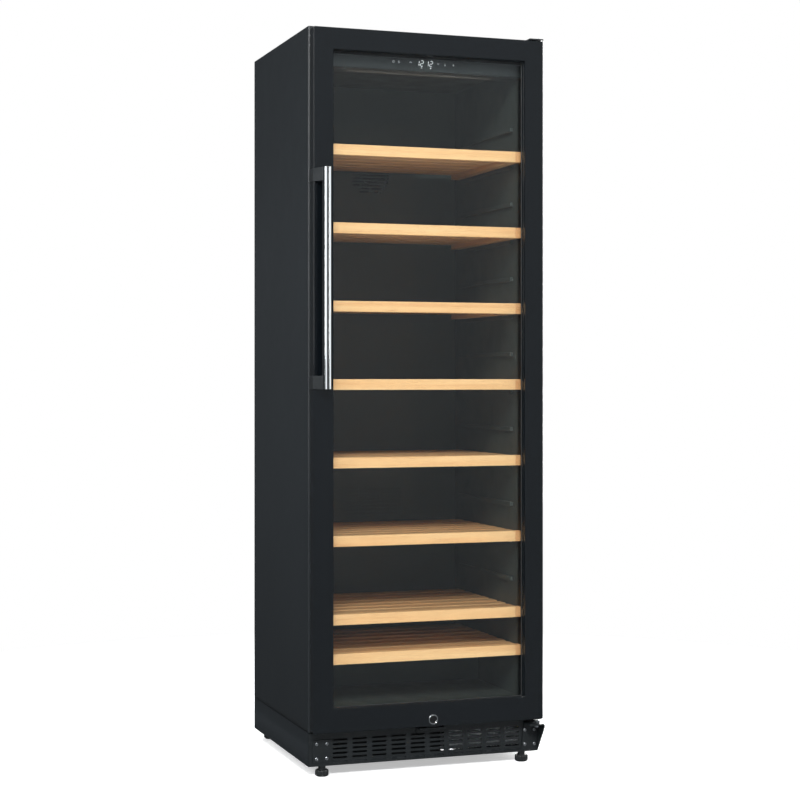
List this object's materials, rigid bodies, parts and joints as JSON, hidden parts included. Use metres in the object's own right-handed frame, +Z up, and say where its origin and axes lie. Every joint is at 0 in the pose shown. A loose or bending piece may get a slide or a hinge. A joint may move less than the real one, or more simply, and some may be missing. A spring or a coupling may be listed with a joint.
{
  "type": "wine cooler",
  "caption": "Tall free-standing wine cooler with a framed glass door, bar handle, wooden shelves, lit interior, plinth grille and levelling feet.",
  "frame": {"origin": "middle of the footprint (handle included) on the floor under the feet", "axes": "+Z up, the door faces -Y, +X to the hinge side"},
  "size_m": [0.595, 0.597, 1.8],
  "materials": {
    "cabinet_paint": "satin",
    "galvanised_steel": "satin",
    "liner_plastic": "matte",
    "foam": "matte",
    "flange_plastic": "satin",
    "panel_plastic": "satin",
    "display": "gloss",
    "light_lens": "satin",
    "fin_metal": "satin",
    "fan_plastic": "matte",
    "plinth_paint": "satin",
    "pin_steel": "polished",
    "screw_steel": "satin",
    "lock_black": "satin",
    "compressor_paint": "gloss",
    "rubber": "matte",
    "tray_plastic": "matte",
    "copper": "satin",
    "foot_plastic": "satin",
    "lock_metal": "satin",
    "door_gloss": "gloss",
    "door_glass": "gloss",
    "spacer_metal": "satin",
    "gasket_rubber": "matte",
    "handle_chrome": "polished",
    "handle_bracket_metal": "satin",
    "bush_plastic": "satin",
    "beech": "satin"
  },
  "bodies": {
    "cabinet": {"left_side_panel": "cabinet_paint", "right_side_panel": "cabinet_paint", "top_panel": "cabinet_paint", "rear_panel": "cabinet_paint", "base_tray": "galvanised_steel", "machine_room_roof": "galvanised_steel", "liner_left_wall": "liner_plastic", "liner_right_wall": "liner_plastic", "liner_back_wall": "liner_plastic", "liner_ceiling": "liner_plastic", "liner_floor": "liner_plastic", "insulation_foam": "foam", "door_flange": "flange_plastic", "shelf_supports": "liner_plastic", "control_panel": "panel_plastic", "display_marks": "display", "light_strip": "light_lens", "air_duct_cover": "liner_plastic", "evaporator": "fin_metal", "evaporator_fan_frame": "fan_plastic", "kick_grille": "plinth_paint", "blank_hinge_plate": "plinth_paint", "lower_hinge_bracket": "plinth_paint", "upper_hinge_plate": "plinth_paint", "hinge_pins": "pin_steel", "bracket_screws": "screw_steel", "lock_keeper": "lock_black", "compressor": "compressor_paint", "compressor_mounts": "rubber", "condenser_coil": "fin_metal", "condenser_fan_frame": "fan_plastic", "drain_tray": "tray_plastic", "refrigerant_pipes": "copper", "control_box": "tray_plastic", "cord_gland": "rubber"},
    "door": {"door_frame": "door_gloss", "outer_glass": "door_glass", "inner_glass": "door_glass", "glass_spacer": "spacer_metal", "door_gasket": "gasket_rubber", "door_inner_trim": "flange_plastic", "handle_bar": "handle_chrome", "handle_brackets": "handle_bracket_metal", "lock_housing": "lock_metal", "hinge_bushes": "bush_plastic"},
    "lock_plug": {"lock_cylinder": "lock_metal"},
    "condenser_fan": {"condenser_fan_rotor": "fan_plastic"},
    "evaporator_fan": {"evaporator_fan_rotor": "fan_plastic"},
    "foot_front_left": {"foot_front_left": "foot_plastic"},
    "foot_front_right": {"foot_front_right": "foot_plastic"},
    "foot_rear_left": {"foot_rear_left": "foot_plastic"},
    "foot_rear_right": {"foot_rear_right": "foot_plastic"},
    "shelf_1": {"shelf_1": "beech"},
    "shelf_2": {"shelf_2": "beech"},
    "shelf_3": {"shelf_3": "beech"},
    "shelf_4": {"shelf_4": "beech"},
    "shelf_5": {"shelf_5": "beech"},
    "shelf_6": {"shelf_6": "beech"},
    "shelf_7": {"shelf_7": "beech"},
    "shelf_8": {"shelf_8": "beech"}
  },
  "joints": [
    {"name": "door_swing", "type": "hinge", "parent": "cabinet", "child": "door", "pos_m": [0.285, -0.2415, 0.95], "axis": [0, 0, 1], "range_deg": [0, 110]},
    {"name": "lock_turn", "type": "hinge", "parent": "door", "child": "lock_plug", "pos_m": [0.006, -0.2425, 0.1285], "axis": [0, 1, 0], "range_deg": [0, 90]},
    {"name": "condenser_fan_spin", "type": "hinge", "parent": "cabinet", "child": "condenser_fan", "pos_m": [0.16, -0.1025, 0.07], "axis": [0, 1, 0], "continuous": true},
    {"name": "evaporator_fan_spin", "type": "hinge", "parent": "cabinet", "child": "evaporator_fan", "pos_m": [0, 0.2375, 1.5], "axis": [0, 1, 0], "continuous": true},
    {"name": "foot_front_left_turn", "type": "hinge", "parent": "cabinet", "child": "foot_front_left", "pos_m": [-0.26, -0.2005, 0.008], "axis": [0, 0, 1], "continuous": true},
    {"name": "foot_front_right_turn", "type": "hinge", "parent": "cabinet", "child": "foot_front_right", "pos_m": [0.26, -0.2005, 0.008], "axis": [0, 0, 1], "continuous": true},
    {"name": "foot_rear_left_turn", "type": "hinge", "parent": "cabinet", "child": "foot_rear_left", "pos_m": [-0.26, 0.2765, 0.008], "axis": [0, 0, 1], "continuous": true},
    {"name": "foot_rear_right_turn", "type": "hinge", "parent": "cabinet", "child": "foot_rear_right", "pos_m": [0.26, 0.2765, 0.008], "axis": [0, 0, 1], "continuous": true},
    {"name": "shelf_1_slide", "type": "slide", "parent": "cabinet", "child": "shelf_1", "axis": [0, -1, 0], "range_m": [0, 0.01]},
    {"name": "shelf_2_slide", "type": "slide", "parent": "cabinet", "child": "shelf_2", "axis": [0, -1, 0], "range_m": [0, 0.01]},
    {"name": "shelf_3_slide", "type": "slide", "parent": "cabinet", "child": "shelf_3", "axis": [0, -1, 0], "range_m": [0, 0.01]},
    {"name": "shelf_4_slide", "type": "slide", "parent": "cabinet", "child": "shelf_4", "axis": [0, -1, 0], "range_m": [0, 0.01]},
    {"name": "shelf_5_slide", "type": "slide", "parent": "cabinet", "child": "shelf_5", "axis": [0, -1, 0], "range_m": [0, 0.01]},
    {"name": "shelf_6_slide", "type": "slide", "parent": "cabinet", "child": "shelf_6", "axis": [0, -1, 0], "range_m": [0, 0.01]},
    {"name": "shelf_7_slide", "type": "slide", "parent": "cabinet", "child": "shelf_7", "axis": [0, -1, 0], "range_m": [0, 0.01]},
    {"name": "shelf_8_slide", "type": "slide", "parent": "cabinet", "child": "shelf_8", "axis": [0, -1, 0], "range_m": [0, 0.01]}
  ]
}
